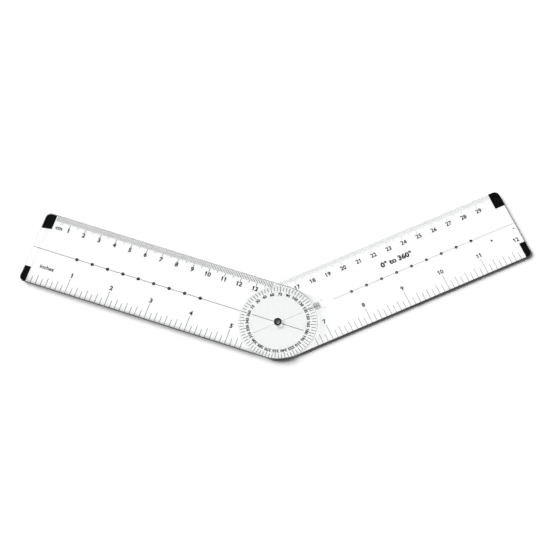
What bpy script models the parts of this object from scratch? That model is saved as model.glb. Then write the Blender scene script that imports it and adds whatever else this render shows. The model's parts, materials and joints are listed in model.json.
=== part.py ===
"""Clear plastic angle ruler (goniometer): flat ruled arms that turn on a hollow eyelet.

Metres, +Z up. The ruler lies flat and open as a wide V, symmetric about the YZ plane.
The origin is on the resting surface, under the middle of the bounding box.
"""

import math

import bmesh
import bpy

# Driving dimensions of an arm, measured from the pivot axis.
ARM_WIDTH = 0.0473
ARM_REACH = 0.1565
ARM_THICKNESS = 0.0012
OUTER_CORNER_RADIUS = 0.0035
OPEN_ANGLE = math.radians(136.7)

# Compass holes on each arm's centre line.
HOLE_COUNT = 9
LOWER_FIRST_HOLE = 0.04805
UPPER_FIRST_HOLE = 0.04895
HOLE_PITCH = 0.00988
HOLE_RADIUS = 0.0005

# Hollow eyelet and the hardware around it.
FLANGE_RADIUS = 0.0024
FLANGE_THICKNESS = 0.0005
FLANGE_ROUNDING = 0.00018
BARREL_RADIUS = 0.0017
BORE_RADIUS = 0.00135
FOOT_RADIUS = 0.0025
FOOT_THICKNESS = 0.0005
RECESS_RADIUS = 0.0028
RECESS_DEPTH = 0.0007
WASHER_RADIUS = 0.0023
WASHER_THICKNESS = 0.0001

# Clearances.
ARM_GAP = 0.0003
FACE_GAP = 0.0001
BARREL_CLEARANCE = 0.00005

# Smoothness of the round stretches.
END_SEGMENTS = 48
CORNER_SEGMENTS = 8
HOLE_SEGMENTS = 16
TURNED_SEGMENTS = 48
ROUNDING_SEGMENTS = 4
MERGE_DISTANCE = 0.000001

# Places that follow from the sizes above.
HALF_WIDTH = ARM_WIDTH / 2
ARM_RISE = (math.pi - OPEN_ANGLE) / 2
UPPER_ARM_Z = ARM_THICKNESS + ARM_GAP
FLANGE_Z = UPPER_ARM_Z + ARM_THICKNESS + FACE_GAP
FOOT_Z = RECESS_DEPTH - FACE_GAP - FOOT_THICKNESS
WASHER_Z = ARM_THICKNESS + (ARM_GAP - WASHER_THICKNESS) / 2
PIVOT_HOLE_RADIUS = BARREL_RADIUS + BARREL_CLEARANCE


def pivot_y():
    """The pivot's Y, which centres the bounding box on the origin."""
    along = (ARM_REACH - OUTER_CORNER_RADIUS) * math.sin(ARM_RISE)
    across = (HALF_WIDTH - OUTER_CORNER_RADIUS) * math.cos(ARM_RISE)
    far_corner = along + across + OUTER_CORNER_RADIUS
    return (HALF_WIDTH - far_corner) / 2


def clear_scene():
    for old in list(bpy.data.objects):
        bpy.data.objects.remove(old)


def new_collection(name):
    collection = bpy.data.collections.new(name)
    bpy.context.scene.collection.children.link(collection)
    return collection


def plain_material(name, colour, roughness, metallic=0.0, alpha=1.0):
    material = bpy.data.materials.new(name)
    material.use_nodes = True
    shader = material.node_tree.nodes["Principled BSDF"]
    shader.inputs["Base Color"].default_value = (*colour, 1.0)
    shader.inputs["Roughness"].default_value = roughness
    shader.inputs["Metallic"].default_value = metallic
    shader.inputs["Alpha"].default_value = alpha
    return material


def arc(centre, radius, start, end, segments):
    """Points along an arc, both ends included, angles in radians."""
    points = []
    for step in range(segments + 1):
        angle = start + (end - start) * step / segments
        points.append((centre[0] + radius * math.cos(angle), centre[1] + radius * math.sin(angle)))
    return points


def circle(centre, radius, segments, start=0.0):
    return arc(centre, radius, start, start + 2 * math.pi, segments)[:-1]


def arm_outline():
    """An arm along +X: a round end about the pivot, and an outer end with rounded corners."""
    corner_x = ARM_REACH - OUTER_CORNER_RADIUS
    corner_y = HALF_WIDTH - OUTER_CORNER_RADIUS
    quarter = math.pi / 2
    points = arc((0.0, 0.0), HALF_WIDTH, quarter, 3 * quarter, END_SEGMENTS)
    points += arc((corner_x, -corner_y), OUTER_CORNER_RADIUS, -quarter, 0.0, CORNER_SEGMENTS)
    points += arc((corner_x, corner_y), OUTER_CORNER_RADIUS, 0.0, quarter, CORNER_SEGMENTS)
    return points


def arm_loops(first_hole):
    """The arm's outline, its pivot hole and its compass holes, from the first one outwards.

    Each compass hole starts a little further round than the last, because corners that all
    lie on one line would give the plate faces with no area.
    """
    loops = [arm_outline(), circle((0.0, 0.0), PIVOT_HOLE_RADIUS, TURNED_SEGMENTS)]
    for index in range(HOLE_COUNT):
        centre = (first_hole + index * HOLE_PITCH, 0.0)
        start = 2 * math.pi * index / (HOLE_COUNT * HOLE_SEGMENTS)
        loops.append(circle(centre, HOLE_RADIUS, HOLE_SEGMENTS, start))
    return loops


def extruded_mesh(name, loops, thickness):
    """A closed plate from flat loops, its underside at z = 0. Inner loops become holes."""
    curve = bpy.data.curves.new(name, "CURVE")
    curve.dimensions = "2D"
    curve.fill_mode = "BOTH"
    curve.extrude = thickness / 2
    for loop in loops:
        spline = curve.splines.new("POLY")
        spline.points.add(len(loop) - 1)
        for point, (x, y) in zip(spline.points, loop):
            point.co = (x, y, 0.0, 1.0)
        spline.use_cyclic_u = True
    guide = bpy.data.objects.new(name + "_outline", curve)
    bpy.context.scene.collection.objects.link(guide)
    graph = bpy.context.evaluated_depsgraph_get()
    mesh = bpy.data.meshes.new_from_object(guide.evaluated_get(graph))
    bpy.data.objects.remove(guide)
    work = bmesh.new()
    work.from_mesh(mesh)
    bmesh.ops.remove_doubles(work, verts=work.verts, dist=MERGE_DISTANCE)
    bmesh.ops.translate(work, verts=work.verts, vec=(0.0, 0.0, thickness / 2))
    bmesh.ops.recalc_face_normals(work, faces=work.faces)
    work.to_mesh(mesh)
    work.free()
    return mesh


def add_object(name, mesh, collection, parent=None, height=0.0, turn=0.0):
    """An object on its parent's axis, at this height and turned about +Z."""
    made = bpy.data.objects.new(name, mesh)
    collection.objects.link(made)
    made.parent = parent
    made.location.z = height
    made.rotation_euler.z = turn
    return made


def add_arm(name, collection, pivot, height, turn, first_hole, material):
    mesh = extruded_mesh(name, arm_loops(first_hole), ARM_THICKNESS)
    mesh.materials.append(material)
    return add_object(name, mesh, collection, pivot, height, turn)


def cut_eyelet_recess(arm, pivot, cutters):
    """A shallow round recess under the arm, so that the eyelet's foot doesn't touch the table."""
    work = bmesh.new()
    bmesh.ops.create_cone(
        work,
        cap_ends=True,
        segments=TURNED_SEGMENTS,
        radius1=RECESS_RADIUS,
        radius2=RECESS_RADIUS,
        depth=2 * RECESS_DEPTH,
    )
    mesh = bpy.data.meshes.new("recess_cutter")
    work.to_mesh(mesh)
    work.free()
    cutter = add_object("recess_cutter", mesh, cutters, pivot)
    cutter.hide_render = True
    cutter.display_type = "WIRE"
    cut = arm.modifiers.new("eyelet_recess", "BOOLEAN")
    cut.operation = "DIFFERENCE"
    cut.solver = "EXACT"
    cut.object = cutter


def turned(name, profile, collection, parent, height, material):
    """A closed ring: a closed profile of (radius, z) points, turned about the pivot's axis."""
    mesh = bpy.data.meshes.new(name)
    count = len(profile)
    edges = [(index, (index + 1) % count) for index in range(count)]
    mesh.from_pydata([(radius, 0.0, z) for radius, z in profile], edges, [])
    mesh.materials.append(material)
    made = add_object(name, mesh, collection, parent, height)
    screw = made.modifiers.new("turn", "SCREW")
    screw.steps = TURNED_SEGMENTS
    screw.render_steps = TURNED_SEGMENTS
    screw.use_merge_vertices = True
    screw.merge_threshold = MERGE_DISTANCE
    screw.use_smooth_shade = True
    return made


def eyelet_profile():
    """Down the eyelet's outside from its crown, round the foot and back up the bore."""
    top = FLANGE_Z + FLANGE_THICKNESS
    rounding = FLANGE_ROUNDING
    quarter = math.pi / 2
    rim = (FLANGE_RADIUS - rounding, top - rounding)
    heel = (FOOT_RADIUS - rounding, FOOT_Z + rounding)
    toe = (BORE_RADIUS + rounding, FOOT_Z + rounding)
    mouth = (BORE_RADIUS + rounding, top - rounding)
    profile = arc(rim, rounding, quarter, 0.0, ROUNDING_SEGMENTS)
    profile += [(FLANGE_RADIUS, FLANGE_Z), (BARREL_RADIUS, FLANGE_Z)]
    profile += [(BARREL_RADIUS, FOOT_Z + FOOT_THICKNESS), (FOOT_RADIUS, FOOT_Z + FOOT_THICKNESS)]
    profile += arc(heel, rounding, 0.0, -quarter, ROUNDING_SEGMENTS)
    profile += arc(toe, rounding, -quarter, -2 * quarter, ROUNDING_SEGMENTS)
    profile += arc(mouth, rounding, 2 * quarter, quarter, ROUNDING_SEGMENTS)
    return profile


def washer_profile():
    inner = PIVOT_HOLE_RADIUS
    return [
        (WASHER_RADIUS, WASHER_THICKNESS),
        (WASHER_RADIUS, 0.0),
        (inner, 0.0),
        (inner, WASHER_THICKNESS),
    ]


def build():
    clear_scene()
    ruler = new_collection("angle_ruler")
    cutters = new_collection("cutters")
    lower_plastic = plain_material("lower_arm_plastic", (0.93, 0.95, 0.95), 0.08, alpha=0.3)
    upper_plastic = plain_material("upper_arm_plastic", (0.91, 0.95, 0.94), 0.08, alpha=0.3)
    black_metal = plain_material("eyelet_black", (0.02, 0.02, 0.02), 0.35, metallic=0.8)
    nylon = plain_material("washer_nylon", (0.85, 0.85, 0.82), 0.5)

    pivot = bpy.data.objects.new("pivot", None)
    ruler.objects.link(pivot)
    pivot.location.y = pivot_y()

    lower_arm = add_arm(
        "lower_arm", ruler, pivot, 0.0, ARM_RISE, LOWER_FIRST_HOLE, lower_plastic
    )
    cut_eyelet_recess(lower_arm, pivot, cutters)
    add_arm(
        "upper_arm",
        ruler,
        pivot,
        UPPER_ARM_Z,
        math.pi - ARM_RISE,
        UPPER_FIRST_HOLE,
        upper_plastic,
    )
    turned("pivot_eyelet", eyelet_profile(), ruler, pivot, 0.0, black_metal)
    turned("spacer_washer", washer_profile(), ruler, pivot, WASHER_Z, nylon)


build()
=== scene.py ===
"""Looks for the clear plastic angle ruler: rounded clear arms, printed scales, a rolled eyelet.

Metres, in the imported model's frame. Each arm's pieces are made in the arm's own frame, with its
origin at the pivot, Y towards the centimetre edge and X towards the right end of the print. So
all print reads the right way round there, and a piece is only turned and moved onto its arm.
"""

import json
import math
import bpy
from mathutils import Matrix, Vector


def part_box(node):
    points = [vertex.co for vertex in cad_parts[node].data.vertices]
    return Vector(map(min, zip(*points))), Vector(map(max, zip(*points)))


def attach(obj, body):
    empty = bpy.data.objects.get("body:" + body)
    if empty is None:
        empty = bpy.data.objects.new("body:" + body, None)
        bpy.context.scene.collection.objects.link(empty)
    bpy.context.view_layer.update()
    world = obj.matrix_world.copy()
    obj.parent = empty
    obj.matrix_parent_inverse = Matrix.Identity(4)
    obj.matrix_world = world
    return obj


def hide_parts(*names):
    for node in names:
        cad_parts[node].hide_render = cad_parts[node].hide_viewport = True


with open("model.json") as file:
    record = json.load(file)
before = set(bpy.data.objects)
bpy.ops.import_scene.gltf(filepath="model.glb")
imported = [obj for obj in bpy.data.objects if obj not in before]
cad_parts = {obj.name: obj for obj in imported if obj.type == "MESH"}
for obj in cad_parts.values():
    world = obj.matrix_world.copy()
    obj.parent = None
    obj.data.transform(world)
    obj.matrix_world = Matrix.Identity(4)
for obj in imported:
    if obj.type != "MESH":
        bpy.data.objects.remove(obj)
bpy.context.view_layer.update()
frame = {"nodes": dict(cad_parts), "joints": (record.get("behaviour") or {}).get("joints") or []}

from types import SimpleNamespace

import bmesh
import bpy
from mathutils import Matrix, Vector
from mathutils.geometry import delaunay_2d_cdt

MM = 0.001
CM = 0.01
INCH = 0.0254


# ---------------------------------------------------------------- sizes

def height_range(node):
    low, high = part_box(node)
    return (low.z, high.z)


# The arms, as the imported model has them.
HALF_WIDTH = 23.65 * MM
ARM_REACH = 156.5 * MM
CORNER_RADIUS = 3.5 * MM
CORNER_X = ARM_REACH - CORNER_RADIUS
CORNER_Y = HALF_WIDTH - CORNER_RADIUS
ARM_RISE = math.radians(21.65)
PIVOT = Vector(frame["joints"][0]["pos_m"])
LOWER_Z = height_range("lower_arm")
UPPER_Z = height_range("upper_arm")
EYELET_Z = height_range("pivot_eyelet")
PIVOT_HOLE_RADIUS = 1.75 * MM
RECESS_RADIUS = 2.8 * MM
RECESS_DEPTH = 0.7 * MM
HOLE_COUNT = 9
HOLE_PITCH = 9.88 * MM
HOLE_RADIUS = 0.5 * MM

# How the edges are rounded. A compass hole flares by this share of its rounding.
EDGE_BEVEL = 0.36 * MM
HOLE_BEVEL = 0.2 * MM
HOLE_FLARE = 0.4
BEVEL_STEPS = 4

# Smoothness of the round stretches.
END_SEGMENTS = 96
CORNER_SEGMENTS = 16
PIVOT_SEGMENTS = 72
HOLE_SEGMENTS = 24
RING_SEGMENTS = 32
BLOCK_SEGMENTS = 10
STROKE_SEGMENTS = 4
WELD = 0.0000005

# Ink stands this far out of the plastic and reaches this far into it.
INK_HEIGHT = 0.03 * MM
INK_BOND = 0.005 * MM
# HOLE_SHADE_LINER is the thickness of a black sleeve down each compass hole's wall, painted shade
# that darkens the hole.
HOLE_SHADE_LINER = 0.12 * MM

# The two scales. A tick runs in from the edge to the last place here whose step divides it.
SCALE_EDGE = 23.45 * MM
CM_MIDDLE = 15 * CM
INCH_MIDDLE = 6 * INCH
CM_TICKS = ((1, 20.2 * MM), (5, 19.0 * MM), (10, 17.9 * MM))
INCH_TICKS = ((1, -18.4 * MM), (2, -17.0 * MM), (8, -13.2 * MM))
CM_TICK_COUNT = 150
INCH_TICK_COUNT = 47
INCH_TICK_PITCH = INCH / 8
INCH_ROW = -10.7 * MM
CM_NUMERALS = 13
INCH_NUMERALS = 5
LAST_CM = 30
LAST_INCH = 12

# The black blocks at the outer corners.
BLOCK_MARGIN = 0.15 * MM
CM_BLOCK_X = 150.0 * MM
CM_BLOCK_END_Y = 13.0 * MM
INCH_BLOCK_X = 152.4 * MM

# The dial.
DIAL_CLEARANCE = 22.8 * MM
DIAL_TICK_COUNT = 72
DIAL_TICK_OUT = 22.7 * MM
DIAL_TICK_IN = 20.4 * MM
DIAL_LONG_TICK_IN = 19.5 * MM
DIAL_STROKE = 0.3 * MM
DIAL_LABEL_COUNT = 24
DIAL_LABEL_STEP = 15
DIAL_LABEL_RADIUS = 18.2 * MM
DIAL_LABEL_HEIGHT = 1.75 * MM
DIAL_LABEL_STRETCH = 1.1
DIAL_LABEL_WEIGHT = 0.045
WASH_INNER_RADIUS = 1.9 * MM
WASH_OUTER_RADIUS = 16.4 * MM
WASH_THINNER_BY = 0.02 * MM
WASH_SEGMENTS = 96

# The index that the dial is read against.
INDEX_LINE = (19.4 * MM, 27.2 * MM)
INDEX_STROKE = 0.4 * MM
HATCH = (23.0 * MM, 27.5 * MM)
HATCH_ROWS = range(-4, 5)
HATCH_PITCH = 0.5 * MM
HATCH_TAPER = 0.25 * MM
HATCH_STROKE = 0.17 * MM
INDEX_DOT_PLACE = (29.4 * MM, 2.6 * MM)
INDEX_DOT_RADIUS = 0.25 * MM
INDEX_DOT_SEGMENTS = 12

# Lettering, in units of the typeface, and the flag that a figure one is given.
CAPITAL_HEIGHT = 0.729
ONE_STEM = 0.06
FLAG_DROP = 0.02
FLAG_WIDTH = 0.15
FLAG_THICKNESS = 0.17
FLAG_SLOPE = 0.13
FLAG_TIP = 0.25
LETTER_SMOOTHNESS = 3

# The rolled eyelet. Its crown is a roll of radius CROWN_ROLL, CROWN_MIDDLE from the axis. The
# foot's points are (radius, height above the eyelet's lowest point).
EYELET_SEGMENTS = 96
CROWN_MIDDLE = 1.93 * MM
CROWN_ROLL = 0.42 * MM
CROWN_LIP_RADIUS = 0.07 * MM
CROWN_LIP_DROP = 0.01 * MM
CROWN_UNDERSIDE_OFFSET = 0.02 * MM
CROWN_UNDERSIDE_RADIUS = 0.2 * MM
CROWN_THROAT_RADIUS = 0.58 * MM
BARREL_RADIUS = 1.70 * MM
BARREL_TOP = 0.30 * MM
BARREL_FOOT = 0.45 * MM
BORE_RADIUS = 1.35 * MM
BORE_CURL_RADIUS = 0.4 * MM
BORE_CURL_RISE = 0.68 * MM
FOOT_ROLL = (
    (1.95 * MM, 0.36 * MM), (2.08 * MM, 0.25 * MM), (2.12 * MM, 0.12 * MM), (2.02 * MM, 0.03 * MM),
    (1.85 * MM, 0.0), (0.45 * MM, 0.02 * MM), (0.25 * MM, 0.12 * MM), (0.4 * MM, 0.28 * MM),
)
LACQUER_DEPTH = 0.6 * MM
WORN_DEPTH = 0.12 * MM
BORE_FINISH_RADIUS = 1.55 * MM

# Where an arm's walls and faces change finish and painted shade, in the arm's own frame.
INCH_SIDE = (-16.5 * MM, -20.5 * MM)
CM_SIDE = (18.0 * MM, 21.5 * MM)
OUTER_END = (ARM_REACH - CORNER_RADIUS, ARM_REACH - 0.5 * CORNER_RADIUS)
ROUND_END = (-4.0 * MM, 4.0 * MM)
STRAIGHT_EDGE = (0.0, 12.0 * MM)

# Colours, as (red, green, blue).
WATER_CLEAR = (1.0, 1.0, 1.0)
SHADE = (0.0, 0.0, 0.0)
SCUFFED_UPPER = (0.993, 0.996, 0.995)
SCUFFED_LOWER = (0.994, 0.996, 0.996)
WALL_CLEAR = (0.97, 0.98, 0.975)
WALL_CLOUDY = (0.94, 0.955, 0.95)
# A plain and a darker copy of the edge's tone: the darker one is painted shade on the edges that
# face away from the light.
WALL_PLAIN_TONE = (0.50, 0.51, 0.505)
WALL_PAINTED_SHADE = (0.08, 0.084, 0.082)
WALL_GRAIN = (0.2, 0.2, 0.2)
INK_DARK = (0.0015, 0.0015, 0.0015)
INK_LIGHT_UPPER = (0.004, 0.004, 0.0045)
INK_LIGHT_LOWER = (0.0045, 0.0045, 0.005)
DIAL_INK_DARK = (0.004, 0.007, 0.006)
DIAL_INK_LIGHT = (0.012, 0.017, 0.015)
LACQUER_DARK = (0.005, 0.005, 0.006)
LACQUER_LIGHT = (0.014, 0.014, 0.015)
BARE_METAL = (0.35, 0.34, 0.32)
# The bore's metal is painted darker than the foot's, as painted shade down the hollow.
BORE_SHADE_DARK = (0.27, 0.27, 0.26)
BORE_SHADE_LIGHT = (0.47, 0.47, 0.46)
FOOT_DARK = (0.55, 0.55, 0.53)
FOOT_LIGHT = (0.75, 0.75, 0.73)
NYLON_DARK = (0.72, 0.72, 0.68)
NYLON_LIGHT = (0.86, 0.86, 0.83)
NYLON_CLEAR = (0.97, 0.97, 0.96)
WASH_DEEP = (0.994, 1.0, 0.997)
WASH_PALE = (0.996, 1.0, 0.998)
WASH_SKIN_DEEP = (0.80, 0.88, 0.85)
WASH_SKIN_PALE = (0.85, 0.91, 0.88)
FLOOR_DARK = (0.86, 0.86, 0.86)
FLOOR_LIGHT = (0.88, 0.88, 0.88)

# Finishes.
FACING_REFLECTION = 0.01
GRAZING_REFLECTION = 0.55
GRAZING_FALLOFF = 5.0
SCUFF_REFLECTION = 0.008
MOST_LIGHT_LOST = 0.9
ROUND_END_SHADOW = 0.2
WALL_GRAIN_SHARE = 0.3
PLASTIC_IOR = 1.49
INK_SPECULAR = 0.25
WORN_METALLIC = 0.9
BARE_METALLIC = 0.6
FLOOR_ROUGHNESS = 0.9
FINE_BUMP = 0.02 * MM
FAINT_BUMP = 0.01 * MM

# The camera and the studio.
CAMERA_TILT = math.radians(23.895)
CAMERA_TURN = math.radians(1.103)
CAMERA_ROLL = math.radians(3.824)
CAMERA_DISTANCE = 1.2103
CAMERA_AIM = Vector((-0.0004, 0.0039, 0.0))
CAMERA_LENS = 132.37
CAMERA_SENSOR = 36.0
CAMERA_CLIP = (0.05, 20.0)
SUN_HEIGHT = math.radians(21.0)
SUN_LEFT = math.radians(58.0)
SUN_SPREAD = math.radians(48.0)
SUN_STRENGTH = 10.1
SKY_SEEN = 1.0
SKY_STRENGTH = 0.16
WHITE = (1.0, 1.0, 1.0, 1.0)
FLOOR_HALF_SIDE = 6.0
FLOOR_DROP = 0.02 * MM
CLEAR_LAYERS = 48


# The two arms. side is -1 where the arm runs along -X in its own frame. blocks are the inner edges
# of its two black blocks. centre_lines are (start, end, width), words are (words, place, height,
# stretch, weight), and dots are (place, radius, segments).
UPPER = SimpleNamespace(
    name="upper_arm",
    body="upper_arm_body",
    side=-1,
    turn=-ARM_RISE,
    z_range=UPPER_Z,
    ink_z=(UPPER_Z[0] - INK_HEIGHT, UPPER_Z[0] + INK_BOND),
    first_hole=48.95 * MM,
    ring_radius=1.05 * MM,
    cm_stroke=0.31 * MM,
    inch_stroke=0.3 * MM,
    numeral_height=2.8 * MM,
    numeral_weight=0.042,
    cm_row=16.3 * MM,
    blocks=(14.0 * MM, -13.1 * MM),
    centre_lines=(
        (-156.2 * MM, -19.6 * MM, 0.3 * MM),
        (-15.9 * MM, -1.85 * MM, 0.3 * MM),
        (1.85 * MM, 15.9 * MM, 0.3 * MM),
    ),
    words=(
        ("cm", (-146.0 * MM, 16.3 * MM), 2.7 * MM, 1.0, 0.03),
        ("inches", (-143.1 * MM, INCH_ROW), 2.6 * MM, 1.0, 0.025),
    ),
    dots=(),
)
LOWER = SimpleNamespace(
    name="lower_arm",
    body="lower_arm_body",
    side=1,
    turn=ARM_RISE,
    z_range=LOWER_Z,
    ink_z=(LOWER_Z[1] - INK_BOND, LOWER_Z[1] + INK_HEIGHT),
    first_hole=48.05 * MM,
    ring_radius=0.9 * MM,
    cm_stroke=0.115 * MM,
    inch_stroke=0.22 * MM,
    numeral_height=2.65 * MM,
    numeral_weight=0.03,
    cm_row=16.15 * MM,
    blocks=(12.9 * MM, -13.6 * MM),
    centre_lines=(
        (-16.0 * MM, -1.85 * MM, 0.11 * MM),
        (1.85 * MM, 16.0 * MM, 0.11 * MM),
        (36.0 * MM, 156.2 * MM, 0.16 * MM),
    ),
    words=(
        (str(LAST_INCH), (152.0 * MM, -10.5 * MM), 2.65 * MM, 1.0, 0.03),
        ("0° to 360°", (81.2 * MM, 8.0 * MM), 3.2 * MM, 1.1, 0.042),
    ),
    dots=(
        ((138.4 * MM, -5.0 * MM), 0.65 * MM, 20),
        ((154.1 * MM, -3.2 * MM), 0.45 * MM, 14),
    ),
)


# ---------------------------------------------------------------- shapes

def arc(centre, radius, start, end, segments):
    """Points along an arc, both ends included, angles in degrees."""
    points = []
    for step in range(segments + 1):
        angle = math.radians(start + (end - start) * step / segments)
        points.append((centre[0] + radius * math.cos(angle), centre[1] + radius * math.sin(angle)))
    return points


def circle(centre, radius, segments, start=0.0):
    return arc(centre, radius, start, start + 360.0, segments)[:-1]


def arm_outline(side, inset):
    """The arm's outline pulled in by this much. Side -1 turns the arm to run along -X."""
    points = arc((0.0, 0.0), HALF_WIDTH - inset, 90, 270, END_SEGMENTS)
    points += arc((CORNER_X, -CORNER_Y), CORNER_RADIUS - inset, -90, 0, CORNER_SEGMENTS)
    points += arc((CORNER_X, CORNER_Y), CORNER_RADIUS - inset, 0, 90, CORNER_SEGMENTS)
    return [(side * x, side * y) for x, y in points]


def wall_steps(low, high, bevel):
    """(inset, height) pairs up a wall whose two edges are rounded by this much."""
    steps = []
    for index in range(BEVEL_STEPS + 1):
        angle = math.pi / 2 * index / BEVEL_STEPS
        steps.append((bevel * (1 - math.sin(angle)), bevel * (1 - math.cos(angle))))
    up = [(inset, low + rise) for inset, rise in steps]
    down = [(inset, high - rise) for inset, rise in reversed(steps)]
    return up + down


def raised(outline, z):
    return [(x, y, z) for x, y in outline]


def add_rings(work, rings, closed_stack=False, finish=0):
    """Quads between rings of the same number of points. Returns the rings' vertices."""
    made = [[work.verts.new(point) for point in ring] for ring in rings]
    pairs = list(zip(made, made[1:]))
    if closed_stack:
        pairs.append((made[-1], made[0]))
    for below, above in pairs:
        count = len(below)
        for index in range(count):
            after = (index + 1) % count
            face = work.faces.new((below[index], below[after], above[after], above[index]))
            face.smooth = True
            face.material_index = finish
    return made


def inside(point, loops):
    """Whether the point is in the area between the loops, by counting the edges it passes."""
    crossings = 0
    for loop in loops:
        for first, second in zip(loop, loop[1:] + loop[:1]):
            if (first.y > point.y) != (second.y > point.y):
                share = (point.y - first.y) / (second.y - first.y)
                crossings += point.x < first.x + share * (second.x - first.x)
    return crossings % 2 == 1


def add_cap(work, loops):
    """A flat face with holes, from loops of vertices. It is cut into triangles in millimetres."""
    flat = [vertex for loop in loops for vertex in loop]
    outlines = [[Vector((vertex.co.x, vertex.co.y)) / MM for vertex in loop] for loop in loops]
    points = [point for outline in outlines for point in outline]
    edges = []
    for outline in outlines:
        first = len(edges)
        count = len(outline)
        edges += [(first + index, first + (index + 1) % count) for index in range(count)]
    corners, _, triangles, sources, _, _ = delaunay_2d_cdt(points, edges, [], 0, 0.000001)
    for triangle in triangles:
        middle = sum((corners[index] for index in triangle), Vector((0.0, 0.0))) / 3
        if inside(middle, outlines):
            face = work.faces.new([flat[sources[index][0]] for index in triangle])
            face.material_index = 0


def finish_mesh(work, name):
    bmesh.ops.recalc_face_normals(work, faces=work.faces)
    mesh = bpy.data.meshes.new(name)
    work.to_mesh(mesh)
    work.free()
    return mesh


def hole_centre(arm, index):
    return (arm.side * (arm.first_hole + index * HOLE_PITCH), 0.0)


def pivot_hole_steps(arm):
    """(radius, height) pairs up the pivot hole. The lower arm's starts in the foot's recess."""
    low, high = arm.z_range
    if arm is UPPER:
        return [(PIVOT_HOLE_RADIUS + inset, z) for inset, z in wall_steps(low, high, HOLE_BEVEL)]
    roof = low + RECESS_DEPTH
    steps = [(RECESS_RADIUS, low), (RECESS_RADIUS, roof), (PIVOT_HOLE_RADIUS, roof)]
    return steps + [(PIVOT_HOLE_RADIUS, high - HOLE_BEVEL), (PIVOT_HOLE_RADIUS + HOLE_BEVEL, high)]


def plate_mesh(arm):
    """The clear arm, with its edges rounded, its pivot hole and its compass holes."""
    low, high = arm.z_range
    work = bmesh.new()
    outline = []
    for inset, z in wall_steps(low, high, EDGE_BEVEL):
        outline.append(raised(arm_outline(arm.side, inset), z))
    stacks = [add_rings(work, outline, finish=1)]
    pivot_rings = []
    for radius, z in pivot_hole_steps(arm):
        pivot_rings.append(raised(circle((0, 0), radius, PIVOT_SEGMENTS), z))
    stacks.append(add_rings(work, pivot_rings))
    for index in range(HOLE_COUNT):
        centre = hole_centre(arm, index)
        start = 360.0 * index / (HOLE_COUNT * HOLE_SEGMENTS)
        rings = []
        for inset, z in wall_steps(low, high, HOLE_BEVEL):
            radius = HOLE_RADIUS + HOLE_FLARE * inset
            rings.append(raised(circle(centre, radius, HOLE_SEGMENTS, start), z))
        stacks.append(add_rings(work, rings))
    add_cap(work, [stack[0] for stack in stacks])
    add_cap(work, [stack[-1] for stack in stacks])
    return finish_mesh(work, arm.name + "_plate")


def add_turned(work, profile, centre, segments):
    """A closed ring: a closed profile of (radius, z) points turned about an upright axis."""
    rings = [raised(circle(centre, radius, segments), z) for radius, z in profile]
    add_rings(work, rings, closed_stack=True)


def add_prism(work, outline, z_range):
    """A thin closed solid from one flat outline."""
    below = [work.verts.new(point) for point in raised(outline, z_range[0])]
    above = [work.verts.new(point) for point in raised(outline, z_range[1])]
    work.faces.new(list(reversed(below)))
    work.faces.new(above)
    count = len(outline)
    for index in range(count):
        after = (index + 1) % count
        work.faces.new((below[index], below[after], above[after], above[index]))


def add_bar(work, start, end, width, z_range):
    """A printed stroke from start to end with round ends."""
    direction = math.degrees(math.atan2(end[1] - start[1], end[0] - start[0]))
    outline = arc(end, width / 2, direction - 90, direction + 90, STROKE_SEGMENTS)
    outline += arc(start, width / 2, direction + 90, direction + 270, STROKE_SEGMENTS)
    add_prism(work, outline, z_range)


def word_mesh(words, weight):
    """The words as a solid one unit thick, starting at x = 0."""
    curve = bpy.data.curves.new("words", "FONT")
    curve.body = words
    curve.offset = weight
    curve.resolution_u = LETTER_SMOOTHNESS
    curve.extrude = 0.5
    guide = bpy.data.objects.new("words", curve)
    bpy.context.scene.collection.objects.link(guide)
    graph = bpy.context.evaluated_depsgraph_get()
    mesh = bpy.data.meshes.new_from_object(guide.evaluated_get(graph))
    bpy.data.objects.remove(guide)
    bpy.data.curves.remove(curve)
    return mesh


def right_end(mesh):
    return max(vertex.co.x for vertex in mesh.vertices)


def one_flag(words_so_far, weight):
    """The slanting flag on the figure one that these words end with, which the typeface lacks."""
    part = word_mesh(words_so_far, weight)
    stem = right_end(part) - ONE_STEM - 1.5 * weight
    bpy.data.meshes.remove(part)
    top = CAPITAL_HEIGHT - FLAG_DROP + weight
    tip = stem - FLAG_WIDTH
    return [
        (stem, top - FLAG_THICKNESS - 2 * weight),
        (stem, top),
        (tip, top - FLAG_SLOPE),
        (tip, top - FLAG_TIP - 2 * weight),
    ]


def text_mesh(words, height, stretch, weight):
    """The words as a solid centred on the origin, their capitals this high."""
    mesh = word_mesh(words, weight)
    work = bmesh.new()
    work.from_mesh(mesh)
    for index, letter in enumerate(words):
        if letter == "1":
            add_prism(work, one_flag(words[:index + 1], weight), (-0.5, 0.5))
    work.to_mesh(mesh)
    work.free()
    left = min(vertex.co.x for vertex in mesh.vertices)
    middle = (left + right_end(mesh)) / 2
    scale = height / CAPITAL_HEIGHT
    mesh.transform(Matrix.Translation((-middle, -CAPITAL_HEIGHT / 2, 0.5)))
    mesh.transform(Matrix.Diagonal((scale * stretch, scale, 1.0, 1.0)))
    return mesh


def add_text(work, words, place, height, z_range, angle=0.0, stretch=1.0, weight=0.0):
    mesh = text_mesh(words, height, stretch, weight)
    mesh.transform(Matrix.Diagonal((1.0, 1.0, z_range[1] - z_range[0], 1.0)))
    mesh.transform(Matrix.Rotation(math.radians(angle), 4, "Z"))
    mesh.transform(Matrix.Translation((place[0], place[1], z_range[0])))
    work.from_mesh(mesh)
    bpy.data.meshes.remove(mesh)


def add_piece(name, mesh, arm, slot, *materials):
    """An object on its arm, riding on the arm's body."""
    for material in materials:
        mesh.materials.append(material)
    turn = Matrix.Rotation(arm.turn, 4, "Z")
    mesh.transform(Matrix.Translation((PIVOT.x, PIVOT.y, 0.0)) @ turn)
    piece = bpy.data.objects.new(name, mesh)
    bpy.context.scene.collection.objects.link(piece)
    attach(piece, arm.body)
    return piece


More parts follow.
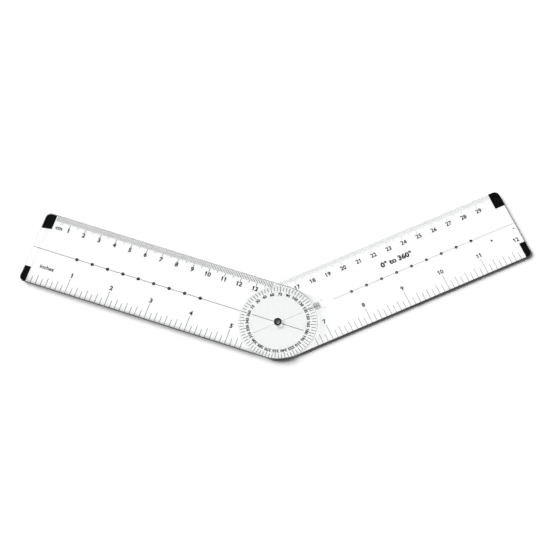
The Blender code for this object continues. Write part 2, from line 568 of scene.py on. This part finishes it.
def add_print(suffix, arm, draw, material):
    """A piece of print: draw fills a bmesh in the arm's own frame. Print casts no shadow."""
    name = arm.name + "_" + suffix
    work = bmesh.new()
    draw(work, arm)
    bmesh.ops.remove_doubles(work, verts=work.verts, dist=WELD)
    piece = add_piece(name, finish_mesh(work, name), arm, "printed_ink", material)
    piece.visible_shadow = False


# ---------------------------------------------------------------- print

def clear_of_dial(x, y):
    return math.hypot(x, y) > DIAL_CLEARANCE


def tick_reach(count, ticks):
    """How far in the tick of this count runs."""
    return [reach for step, reach in ticks if count % step == 0][-1]


def draw_cm_scale(work, arm):
    for count in range(1, CM_TICK_COUNT + 1):
        x = arm.side * (CM_MIDDLE - count * MM)
        reach = tick_reach(count, CM_TICKS)
        if clear_of_dial(x, reach):
            add_bar(work, (x, reach), (x, SCALE_EDGE), arm.cm_stroke, arm.ink_z)


def draw_inch_scale(work, arm):
    for count in range(1, INCH_TICK_COUNT + 1):
        x = arm.side * (INCH_MIDDLE - count * INCH_TICK_PITCH)
        reach = tick_reach(count, INCH_TICKS)
        if clear_of_dial(x, reach):
            add_bar(work, (x, -SCALE_EDGE), (x, reach), arm.inch_stroke, arm.ink_z)


def draw_row(work, arm, numerals, last, middle, pitch, y):
    """A scale's numbers from the arm's outer end, which count down there on the lower arm."""
    for count in range(1, numerals + 1):
        words = str(count) if arm is UPPER else str(last - count)
        place = (arm.side * (middle - count * pitch), y)
        add_text(work, words, place, arm.numeral_height, arm.ink_z, weight=arm.numeral_weight)


def draw_numerals(work, arm):
    draw_row(work, arm, CM_NUMERALS, LAST_CM, CM_MIDDLE, CM, arm.cm_row)
    draw_row(work, arm, INCH_NUMERALS, LAST_INCH, INCH_MIDDLE, INCH, INCH_ROW)
    for words, place, height, stretch, weight in arm.words:
        add_text(work, words, place, height, arm.ink_z, stretch=stretch, weight=weight)
    for place, radius, segments in arm.dots:
        add_prism(work, circle(place, radius, segments), arm.ink_z)


def draw_centre_line(work, arm):
    for start, end, width in arm.centre_lines:
        add_bar(work, (start, 0.0), (end, 0.0), width, arm.ink_z)


def draw_hole_marks(work, arm):
    """A printed ring round each compass hole, and a black sleeve of the ink down the hole's wall,
    which is painted shade in the hole.
    """
    low, high = arm.z_range
    foot, head = arm.ink_z
    inner = HOLE_RADIUS - HOLE_SHADE_LINER
    outer = HOLE_RADIUS + INK_BOND
    if arm is UPPER:
        profile = [(inner, foot), (arm.ring_radius, foot), (arm.ring_radius, head)]
        profile += [(outer, head), (outer, high - HOLE_BEVEL), (inner, high - HOLE_BEVEL)]
    else:
        profile = [(inner, low + HOLE_BEVEL), (outer, low + HOLE_BEVEL), (outer, foot)]
        profile += [(arm.ring_radius, foot), (arm.ring_radius, head), (inner, head)]
    for index in range(HOLE_COUNT):
        add_turned(work, profile, hole_centre(arm, index), RING_SEGMENTS)


def draw_end_blocks(work, arm):
    """The solid black corners at the arm's outer end, which follow its rounded corners."""
    radius = CORNER_RADIUS - BLOCK_MARGIN
    end_x = ARM_REACH - BLOCK_MARGIN
    edge_y = HALF_WIDTH - BLOCK_MARGIN
    cm_inner, inch_inner = arm.blocks
    cm_block = arc((CORNER_X, CORNER_Y), radius, 0, 90, BLOCK_SEGMENTS)
    cm_block += [(CM_BLOCK_X, edge_y), (CM_BLOCK_X, cm_inner), (end_x, CM_BLOCK_END_Y)]
    inch_block = arc((CORNER_X, -CORNER_Y), radius, -90, 0, BLOCK_SEGMENTS)
    inch_block += [(end_x, inch_inner), (INCH_BLOCK_X, inch_inner), (INCH_BLOCK_X, -edge_y)]
    for outline in (cm_block, inch_block):
        add_prism(work, [(arm.side * x, y) for x, y in outline], arm.ink_z)


def draw_dial_ticks(work, arm):
    for count in range(DIAL_TICK_COUNT):
        angle = 2 * math.pi * count / DIAL_TICK_COUNT
        inner = DIAL_LONG_TICK_IN if count % 3 == 0 else DIAL_TICK_IN
        start = (inner * math.cos(angle), inner * math.sin(angle))
        end = (DIAL_TICK_OUT * math.cos(angle), DIAL_TICK_OUT * math.sin(angle))
        add_bar(work, start, end, DIAL_STROKE, arm.ink_z)


def draw_dial_numerals(work, arm):
    """Every 15 degrees clockwise from the arm's own centre line, their tops outwards."""
    for count in range(1, DIAL_LABEL_COUNT + 1):
        reading = DIAL_LABEL_STEP * count
        angle = 180.0 - reading
        turn = math.radians(angle)
        place = (DIAL_LABEL_RADIUS * math.cos(turn), DIAL_LABEL_RADIUS * math.sin(turn))
        add_text(
            work, str(reading), place, DIAL_LABEL_HEIGHT, arm.ink_z, angle - 90,
            DIAL_LABEL_STRETCH, DIAL_LABEL_WEIGHT,
        )


def draw_dial_wash(work, arm):
    """The thin wash over the middle of the dial, clear of the pivot hole."""
    low = arm.ink_z[0] + WASH_THINNER_BY
    high = arm.ink_z[1]
    profile = [(WASH_INNER_RADIUS, low), (WASH_OUTER_RADIUS, low)]
    profile += [(WASH_OUTER_RADIUS, high), (WASH_INNER_RADIUS, high)]
    add_turned(work, profile, (0.0, 0.0), WASH_SEGMENTS)


def draw_index(work, arm):
    """The index that the dial is read against: a hatched block with a line running inwards."""
    add_bar(work, (INDEX_LINE[0], 0.0), (INDEX_LINE[1], 0.0), INDEX_STROKE, arm.ink_z)
    for row in HATCH_ROWS:
        y = HATCH_PITCH * row
        start = HATCH[0] + HATCH_TAPER * abs(row)
        add_bar(work, (start, y), (HATCH[1], y), HATCH_STROKE, arm.ink_z)
    for side in (-1, 1):
        place = (INDEX_DOT_PLACE[0], side * INDEX_DOT_PLACE[1])
        add_prism(work, circle(place, INDEX_DOT_RADIUS, INDEX_DOT_SEGMENTS), arm.ink_z)


# ---------------------------------------------------------------- materials

class Nodes:
    """A short way to add and join shader nodes."""

    def __init__(self, name):
        self.material = bpy.data.materials.new(name)
        self.material.use_nodes = True
        self.tree = self.material.node_tree
        self.tree.nodes.clear()
        self.output = self.add("ShaderNodeOutputMaterial")
        self.coordinates = self.add("ShaderNodeTexCoord")

    def add(self, kind, **values):
        node = self.tree.nodes.new(kind)
        for key, value in values.items():
            setattr(node, key, value)
        return node

    def join(self, source, target):
        self.tree.links.new(source, target)

    def feed(self, value, target):
        """Set the socket, where the value is a number, or join the two."""
        if isinstance(value, (int, float)):
            target.default_value = value
        else:
            self.join(value, target)

    def mapped(self, scale=(1.0, 1.0, 1.0), turn=0.0, origin=(0.0, 0.0, 0.0)):
        """Object coordinates in a frame turned about +Z at the origin, times the scale."""
        mapping = self.add("ShaderNodeMapping", vector_type="TEXTURE")
        mapping.inputs["Location"].default_value = origin
        mapping.inputs["Rotation"].default_value = (0.0, 0.0, turn)
        mapping.inputs["Scale"].default_value = tuple(1.0 / value for value in scale)
        self.join(self.coordinates.outputs["Object"], mapping.inputs["Vector"])
        return mapping.outputs["Vector"]

    def on_arm(self, arm):
        """The X, Y and Z sockets of a point's place in the arm's own frame, pivot at zero."""
        parts = self.add("ShaderNodeSeparateXYZ")
        place = self.mapped(turn=arm.turn, origin=(PIVOT.x, PIVOT.y, 0.0))
        self.join(place, parts.inputs[0])
        return parts.outputs

    def noise(self, vector, scale, detail=3.0, roughness=0.5, distortion=0.0):
        node = self.add("ShaderNodeTexNoise")
        node.inputs["Scale"].default_value = scale
        node.inputs["Detail"].default_value = detail
        node.inputs["Roughness"].default_value = roughness
        node.inputs["Distortion"].default_value = distortion
        self.join(vector, node.inputs["Vector"])
        return node.outputs["Fac"]

    def remap(self, value, source, target=(0.0, 1.0)):
        """The value, clamped to the source range, carried over to the target range."""
        node = self.add("ShaderNodeMapRange")
        for key, number in zip(("From Min", "From Max", "To Min", "To Max"), (*source, *target)):
            node.inputs[key].default_value = number
        self.join(value, node.inputs["Value"])
        return node.outputs["Result"]

    def spread(self, noise, low=0.0, high=1.0):
        """A noise, which mostly lies between 0.3 and 0.7, carried over to this range."""
        return self.remap(noise, (0.3, 0.7), (low, high))

    def math(self, operation, first, second=0.0):
        node = self.add("ShaderNodeMath", operation=operation)
        self.feed(first, node.inputs[0])
        self.feed(second, node.inputs[1])
        return node.outputs["Value"]

    def product(self, *factors):
        total = factors[0]
        for factor in factors[1:]:
            total = self.math("MULTIPLY", total, factor)
        return total

    def slide(self, factor, first, second):
        """From the first number to the second as the factor goes from 0 to 1."""
        node = self.add("ShaderNodeMix", data_type="FLOAT")
        self.join(factor, node.inputs["Factor"])
        self.feed(first, node.inputs[2])
        self.feed(second, node.inputs[3])
        return node.outputs[0]

    def blend(self, factor, first, second):
        """From the first colour to the second as the factor goes from 0 to 1."""
        node = self.add("ShaderNodeMix", data_type="RGBA")
        self.join(factor, node.inputs["Factor"])
        for socket, value in ((node.inputs[6], first), (node.inputs[7], second)):
            if isinstance(value, tuple):
                socket.default_value = (*value, 1.0)
            else:
                self.join(value, socket)
        return node.outputs[2]

    def edge_distance(self, place, side):
        """How far inside the inch edge a point is, along the straight and the round end."""
        across = self.math("MAXIMUM", self.product(place["Y"], -1.0), 0.0)
        behind = self.math("MINIMUM", self.product(place["X"], side), 0.0)
        squares = self.math("ADD", self.product(behind, behind), self.product(across, across))
        return self.math("SUBTRACT", HALF_WIDTH, self.math("SQRT", squares))

    def bump(self, height, strength, distance):
        node = self.add("ShaderNodeBump")
        node.inputs["Strength"].default_value = strength
        node.inputs["Distance"].default_value = distance
        self.join(height, node.inputs["Height"])
        return node.outputs["Normal"]

    def principled(self, colour, roughness, normal=None):
        node = self.add("ShaderNodeBsdfPrincipled")
        self.join(colour, node.inputs["Base Color"])
        self.feed(roughness, node.inputs["Roughness"])
        if normal is not None:
            self.join(normal, node.inputs["Normal"])
        return node

    def see_through(self, colour):
        node = self.add("ShaderNodeBsdfTransparent")
        if isinstance(colour, tuple):
            node.inputs["Color"].default_value = (*colour, 1.0)
        else:
            self.join(colour, node.inputs["Color"])
        return node

    def finish(self, first, second=None, factor=None):
        """The material, from one shader, or from two mixed by the factor."""
        surface = first.outputs[0]
        if second is not None:
            mix = self.add("ShaderNodeMixShader")
            self.join(factor, mix.inputs[0])
            self.join(first.outputs[0], mix.inputs[1])
            self.join(second.outputs[0], mix.inputs[2])
            surface = mix.outputs[0]
        self.join(surface, self.output.inputs["Surface"])
        return self.material


def clear_face_material(name, arm, scuffed_tint, seed, lost):
    """Clear plastic seen through its broad faces: fine long scuffs in a glossy, see-through skin.

    Close to the inch edge, over the width lost, the plastic bends light away, so less of it
    reaches the table there.
    """
    nodes = Nodes(name)
    cloudy = nodes.noise(nodes.mapped(), scale=40.0 + seed, detail=4.0)
    along = nodes.mapped((60.0, 900.0, 400.0), arm.turn)
    scuff = nodes.noise(
        along, scale=1.0 + 0.01 * seed, detail=2.0, roughness=0.6, distortion=0.4
    )
    scuff_mask = nodes.remap(scuff, (0.62, 0.72))
    gloss = nodes.add("ShaderNodeBsdfGlossy")
    roughness = nodes.math("ADD", nodes.spread(cloudy, 0.05, 0.14), nodes.product(scuff_mask, 0.2))
    nodes.join(roughness, gloss.inputs["Roughness"])
    nodes.join(nodes.bump(scuff_mask, strength=0.15, distance=FINE_BUMP), gloss.inputs["Normal"])

    place = nodes.on_arm(arm)
    rays = nodes.add("ShaderNodeLightPath")
    near_edge = nodes.remap(
        nodes.edge_distance(place, arm.side), (lost, 0.6 * lost), (0.0, MOST_LIGHT_LOST)
    )
    inch_side = nodes.remap(place["Y"], INCH_SIDE)
    straight = nodes.remap(nodes.product(place["X"], arm.side), STRAIGHT_EDGE)
    bent = nodes.product(near_edge, inch_side, straight, rays.outputs["Is Shadow Ray"])
    colour = nodes.blend(cloudy, WATER_CLEAR, scuffed_tint)
    clear = nodes.see_through(nodes.blend(bent, colour, SHADE))

    facing = nodes.add("ShaderNodeLayerWeight")
    facing.inputs["Blend"].default_value = 0.5
    grazing = nodes.math("POWER", facing.outputs["Facing"], GRAZING_FALLOFF)
    reflected = nodes.math("ADD", nodes.product(grazing, GRAZING_REFLECTION), FACING_REFLECTION)
    share = nodes.math("ADD", reflected, nodes.product(scuff_mask, SCUFF_REFLECTION))
    return nodes.finish(clear, gloss, share)


def clear_wall_material(name, arm, seed, inch_edge, cm_edge, outer_end, round_end, round_cm_edge):
    """The edge of the clear plastic, with painted shade: its tone is painted dark along the inch
    edge and, by outer_end, towards the outer end, and is plain grey elsewhere.

    The last five numbers are how much of the light that stretch of the edge keeps back, and
    round_cm_edge is where the centimetre edge runs into the round end. The round end keeps
    back less of the light that reaches the table.
    """
    nodes = Nodes(name)
    grain = nodes.noise(nodes.mapped((900.0, 900.0, 3000.0)), scale=1.0)
    drift = nodes.noise(nodes.mapped(), scale=60.0 + seed, detail=2.0)
    place = nodes.on_arm(arm)
    rays = nodes.add("ShaderNodeLightPath")
    inch_side = nodes.remap(place["Y"], INCH_SIDE)
    cm_side = nodes.remap(place["Y"], CM_SIDE)
    outer = nodes.remap(nodes.math("ABSOLUTE", place["X"]), OUTER_END)
    rim = nodes.remap(nodes.product(place["X"], -arm.side), ROUND_END)
    shadow = (round_end, ROUND_END_SHADOW * round_end)
    share = nodes.remap(rays.outputs["Is Shadow Ray"], (0.0, 1.0), shadow)
    share = nodes.slide(outer, share, outer_end)
    share = nodes.slide(cm_side, share, nodes.slide(rim, cm_edge, round_cm_edge))
    share = nodes.slide(inch_side, share, inch_edge)
    share = nodes.product(share, nodes.spread(drift, 0.96, 1.0))

    clear = nodes.see_through(nodes.blend(drift, WALL_CLEAR, WALL_CLOUDY))
    # Painted shade: the edge is painted darker along the inch edge and towards the outer end.
    painted_shade = nodes.math("MAXIMUM", inch_side, nodes.product(outer, outer_end * outer_end))
    tone = nodes.blend(painted_shade, WALL_PLAIN_TONE, WALL_PAINTED_SHADE)
    colour = nodes.blend(nodes.product(grain, WALL_GRAIN_SHARE), tone, WALL_GRAIN)
    normal = nodes.bump(grain, strength=0.3, distance=FINE_BUMP)
    solid = nodes.principled(colour, nodes.spread(grain, 0.25, 0.5), normal)
    solid.inputs["IOR"].default_value = PLASTIC_IOR
    return nodes.finish(clear, solid, share)


def ink_material(name, dark, light, seed):
    """Screen-printed ink: nearly black, a little uneven, with a fine dry grain."""
    nodes = Nodes(name)
    grain = nodes.noise(nodes.mapped(), scale=5000.0 + seed)
    drift = nodes.noise(nodes.mapped(), scale=300.0 + seed)
    colour = nodes.blend(nodes.spread(drift), dark, light)
    normal = nodes.bump(grain, strength=0.4, distance=FAINT_BUMP)
    ink = nodes.principled(colour, nodes.spread(grain, 0.4, 0.7), normal)
    ink.inputs["Specular IOR Level"].default_value = INK_SPECULAR
    return nodes.finish(ink)


def lacquer_material():
    """Black lacquer on a rolled metal eyelet, rubbed through here and there along the crown."""
    nodes = Nodes("black_lacquer")
    grain = nodes.noise(nodes.mapped(), scale=3500.0, detail=4.0)
    patches = nodes.noise(
        nodes.mapped(), scale=900.0, detail=4.0, roughness=0.6, distortion=0.5
    )
    parts = nodes.add("ShaderNodeSeparateXYZ")
    nodes.join(nodes.coordinates.outputs["Object"], parts.inputs[0])
    crown = nodes.remap(parts.outputs["Z"], (EYELET_Z[1] - WORN_DEPTH, EYELET_Z[1]))
    worn = nodes.product(crown, nodes.remap(patches, (0.56, 0.66)))
    coat = nodes.blend(nodes.spread(grain), LACQUER_DARK, LACQUER_LIGHT)
    colour = nodes.blend(worn, coat, BARE_METAL)
    normal = nodes.bump(grain, strength=0.25, distance=FINE_BUMP)
    lacquer = nodes.principled(colour, nodes.spread(grain, 0.22, 0.42), normal)
    nodes.join(nodes.product(worn, WORN_METALLIC), lacquer.inputs["Metallic"])
    return nodes.finish(lacquer)


def metal_material(name, dark, light):
    """The eyelet's dull metal where it isn't lacquered, with streaks from the press."""
    nodes = Nodes(name)
    streaks = nodes.noise(nodes.mapped((1500.0, 1500.0, 250.0)), scale=1.0)
    normal = nodes.bump(streaks, strength=0.3, distance=FINE_BUMP)
    colour = nodes.blend(streaks, dark, light)
    metal = nodes.principled(colour, nodes.spread(streaks, 0.3, 0.5), normal)
    metal.inputs["Metallic"].default_value = BARE_METALLIC
    return nodes.finish(metal)


def nylon_material():
    """Thin milky nylon, with a fine moulded grain."""
    nodes = Nodes("washer_nylon_finish")
    grain = nodes.noise(nodes.mapped(), scale=2500.0, detail=4.0)
    colour = nodes.blend(grain, NYLON_DARK, NYLON_LIGHT)
    normal = nodes.bump(grain, strength=0.2, distance=FAINT_BUMP)
    nylon = nodes.principled(colour, nodes.spread(grain, 0.4, 0.6), normal)
    clear = nodes.see_through(NYLON_CLEAR)
    return nodes.finish(clear, nylon, nodes.spread(grain, 0.15, 0.3))


def dial_wash_material():
    """A very thin cool wash printed over the middle of the dial."""
    nodes = Nodes("dial_wash")
    grain = nodes.noise(nodes.mapped(), scale=700.0)
    wash = nodes.see_through(nodes.blend(grain, WASH_DEEP, WASH_PALE))
    colour = nodes.blend(grain, WASH_SKIN_DEEP, WASH_SKIN_PALE)
    skin = nodes.principled(colour, nodes.spread(grain, 0.3, 0.5))
    return nodes.finish(wash, skin, nodes.spread(grain, 0.001, 0.003))


def floor_material():
    """Plain pale paper without a shine."""
    nodes = Nodes("studio_floor")
    grain = nodes.noise(nodes.mapped(), scale=60.0)
    colour = nodes.blend(grain, FLOOR_DARK, FLOOR_LIGHT)
    paper = nodes.principled(colour, FLOOR_ROUGHNESS)
    paper.inputs["Specular IOR Level"].default_value = 0.0
    return nodes.finish(paper)


# ---------------------------------------------------------------- the object

def eyelet_profile():
    """Round a rolled eyelet: over the crown, down the barrel, out to the foot, back up the bore."""
    foot, top = EYELET_Z
    crown = (CROWN_MIDDLE, top - CROWN_ROLL)
    profile = arc(crown, CROWN_ROLL, 90, 0, 8)
    lip_radius = CROWN_MIDDLE + CROWN_ROLL - CROWN_LIP_RADIUS
    lip = (lip_radius, top - CROWN_ROLL - CROWN_LIP_DROP)
    profile += arc(lip, CROWN_LIP_RADIUS, 0, -180, 4)
    underside = (CROWN_MIDDLE + CROWN_UNDERSIDE_OFFSET, top - CROWN_ROLL)
    profile += arc(underside, CROWN_UNDERSIDE_RADIUS, 0, 90, 4)
    profile += [(BARREL_RADIUS, top - BARREL_TOP), (BARREL_RADIUS, foot + BARREL_FOOT)]
    profile += [(radius, foot + rise) for radius, rise in FOOT_ROLL]
    curl = (BORE_RADIUS - BORE_CURL_RADIUS, foot + BORE_CURL_RISE)
    profile += arc(curl, BORE_CURL_RADIUS, 270, 360, 6)
    profile += [(BORE_RADIUS, top - CROWN_THROAT_RADIUS)]
    throat = (CROWN_MIDDLE, top - CROWN_THROAT_RADIUS)
    profile += arc(throat, CROWN_THROAT_RADIUS, 170, 100, 6)
    return profile


def make_eyelet():
    """Its finishes are 0 the lacquered crown, 1 the bore and 2 the foot. The bore's metal is darker
    than the foot's, which is painted shade down the hollow.
    """
    work = bmesh.new()
    add_turned(work, eyelet_profile(), (0.0, 0.0), EYELET_SEGMENTS)
    bmesh.ops.remove_doubles(work, verts=work.verts, dist=WELD)
    for face in work.faces:
        middle = face.calc_center_median()
        face.material_index = 0
        if middle.z < EYELET_Z[1] - LACQUER_DEPTH:
            in_bore = math.hypot(middle.x, middle.y) < BORE_FINISH_RADIUS
            face.material_index = 1 if in_bore else 2
    mesh = finish_mesh(work, "eyelet_shell")
    finishes = [
        lacquer_material(),
        metal_material("bore_metal_painted_shade", BORE_SHADE_DARK, BORE_SHADE_LIGHT),
        metal_material("foot_metal", FOOT_DARK, FOOT_LIGHT),
    ]
    shell = add_piece("eyelet_shell", mesh, LOWER, "eyelet_black", *finishes)
    shell.visible_shadow = False
    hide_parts("pivot_eyelet")


def make_plates():
    # The walls' shares differ between the arms by how each stretch faces the light: stretches that
    # face away from it are made darker and less clear, which is painted shade.
    face = clear_face_material(
        "clear_plastic_upper", UPPER, scuffed_tint=SCUFFED_UPPER, seed=1.0, lost=2.6 * MM
    )
    wall = clear_wall_material(
        "clear_edge_upper", UPPER, seed=1.0, inch_edge=1.0, cm_edge=0.6, outer_end=0.3,
        round_end=0.45, round_cm_edge=1.0,
    )
    plate = add_piece("upper_arm_plate", plate_mesh(UPPER), UPPER, "upper_arm_plastic", face, wall)
    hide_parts("upper_arm")
    face = clear_face_material(
        "clear_plastic_lower", LOWER, scuffed_tint=SCUFFED_LOWER, seed=2.0, lost=1.2 * MM
    )
    wall = clear_wall_material(
        "clear_edge_lower", LOWER, seed=2.0, inch_edge=1.0, cm_edge=0.12, outer_end=0.7,
        round_end=0.08, round_cm_edge=0.12,
    )
    plate = add_piece("lower_arm_plate", plate_mesh(LOWER), LOWER, "lower_arm_plastic", face, wall)
    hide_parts("lower_arm")


def make_print():
    upper_ink = ink_material("printed_ink_upper", INK_DARK, INK_LIGHT_UPPER, seed=0.0)
    lower_ink = ink_material("printed_ink_lower", INK_DARK, INK_LIGHT_LOWER, seed=7.0)
    dial_ink = ink_material("printed_ink_dial", DIAL_INK_DARK, DIAL_INK_LIGHT, seed=13.0)
    for arm, ink in ((UPPER, upper_ink), (LOWER, lower_ink)):
        add_print("cm_scale", arm, draw_cm_scale, ink)
        add_print("inch_scale", arm, draw_inch_scale, ink)
        add_print("numerals", arm, draw_numerals, ink)
        add_print("centre_line", arm, draw_centre_line, ink)
        add_print("hole_marks", arm, draw_hole_marks, ink)
        add_print("end_blocks", arm, draw_end_blocks, ink)
    add_print("dial_ticks", UPPER, draw_dial_ticks, dial_ink)
    add_print("dial_numerals", UPPER, draw_dial_numerals, dial_ink)
    add_print("dial_wash", UPPER, draw_dial_wash, dial_wash_material())
    add_print("index", LOWER, draw_index, lower_ink)


def make_washer():
    washer = frame["nodes"]["spacer_washer"]
    finish = nylon_material()
    for socket in washer.material_slots:
        socket.material = finish


# ---------------------------------------------------------------- studio

def make_floor():
    work = bmesh.new()
    bmesh.ops.create_grid(work, x_segments=4, y_segments=4, size=FLOOR_HALF_SIDE)
    mesh = bpy.data.meshes.new("floor")
    work.to_mesh(mesh)
    work.free()
    mesh.materials.append(floor_material())
    floor = bpy.data.objects.new("floor", mesh)
    bpy.context.scene.collection.objects.link(floor)
    floor.location.z = -FLOOR_DROP


def make_camera():
    """A long lens a little in front of straight above, so the ruler's near edges show."""
    data = bpy.data.cameras.new("camera")
    data.lens = CAMERA_LENS
    data.sensor_width = CAMERA_SENSOR
    data.clip_start, data.clip_end = CAMERA_CLIP
    camera = bpy.data.objects.new("camera", data)
    bpy.context.scene.collection.objects.link(camera)
    turn = Matrix.Rotation(CAMERA_TURN, 3, "Z")
    tilt = Matrix.Rotation(CAMERA_TILT, 3, "X")
    roll = Matrix.Rotation(-CAMERA_ROLL, 3, "Z")
    axes = turn @ tilt @ roll
    place = CAMERA_AIM + axes @ Vector((0.0, 0.0, CAMERA_DISTANCE))
    camera.matrix_world = Matrix.Translation(place) @ axes.to_4x4()
    bpy.context.scene.camera = camera


def make_light():
    """One wide soft light from behind on the left. It isn't mirrored in the plastic."""
    data = bpy.data.lights.new("key", "SUN")
    data.energy = SUN_STRENGTH
    data.angle = SUN_SPREAD
    light = bpy.data.objects.new("key", data)
    bpy.context.scene.collection.objects.link(light)
    away = math.cos(SUN_HEIGHT)
    left = -math.sin(SUN_LEFT) * away
    towards = Vector((left, math.cos(SUN_LEFT) * away, math.sin(SUN_HEIGHT)))
    light.rotation_euler = towards.to_track_quat("Z", "Y").to_euler()
    light.visible_glossy = False


def make_sky():
    """A white studio: bright where the camera sees it, dimmer as fill light and in reflections."""
    world = bpy.data.worlds.new("studio")
    world.use_nodes = True
    tree = world.node_tree
    shown = tree.nodes["Background"]
    fill = tree.nodes.new("ShaderNodeBackground")
    for background, strength in ((shown, SKY_SEEN), (fill, SKY_STRENGTH)):
        background.inputs["Color"].default_value = WHITE
        background.inputs["Strength"].default_value = strength
    rays = tree.nodes.new("ShaderNodeLightPath")
    mix = tree.nodes.new("ShaderNodeMixShader")
    tree.links.new(rays.outputs["Is Camera Ray"], mix.inputs[0])
    tree.links.new(fill.outputs[0], mix.inputs[1])
    tree.links.new(shown.outputs[0], mix.inputs[2])
    tree.links.new(mix.outputs[0], tree.nodes["World Output"].inputs["Surface"])
    bpy.context.scene.world = world


make_plates()
make_print()
make_eyelet()
make_washer()
make_floor()
make_camera()
make_light()
make_sky()
bpy.context.scene.view_settings.view_transform = "Standard"
bpy.context.scene.cycles.transparent_max_bounces = CLEAR_LAYERS
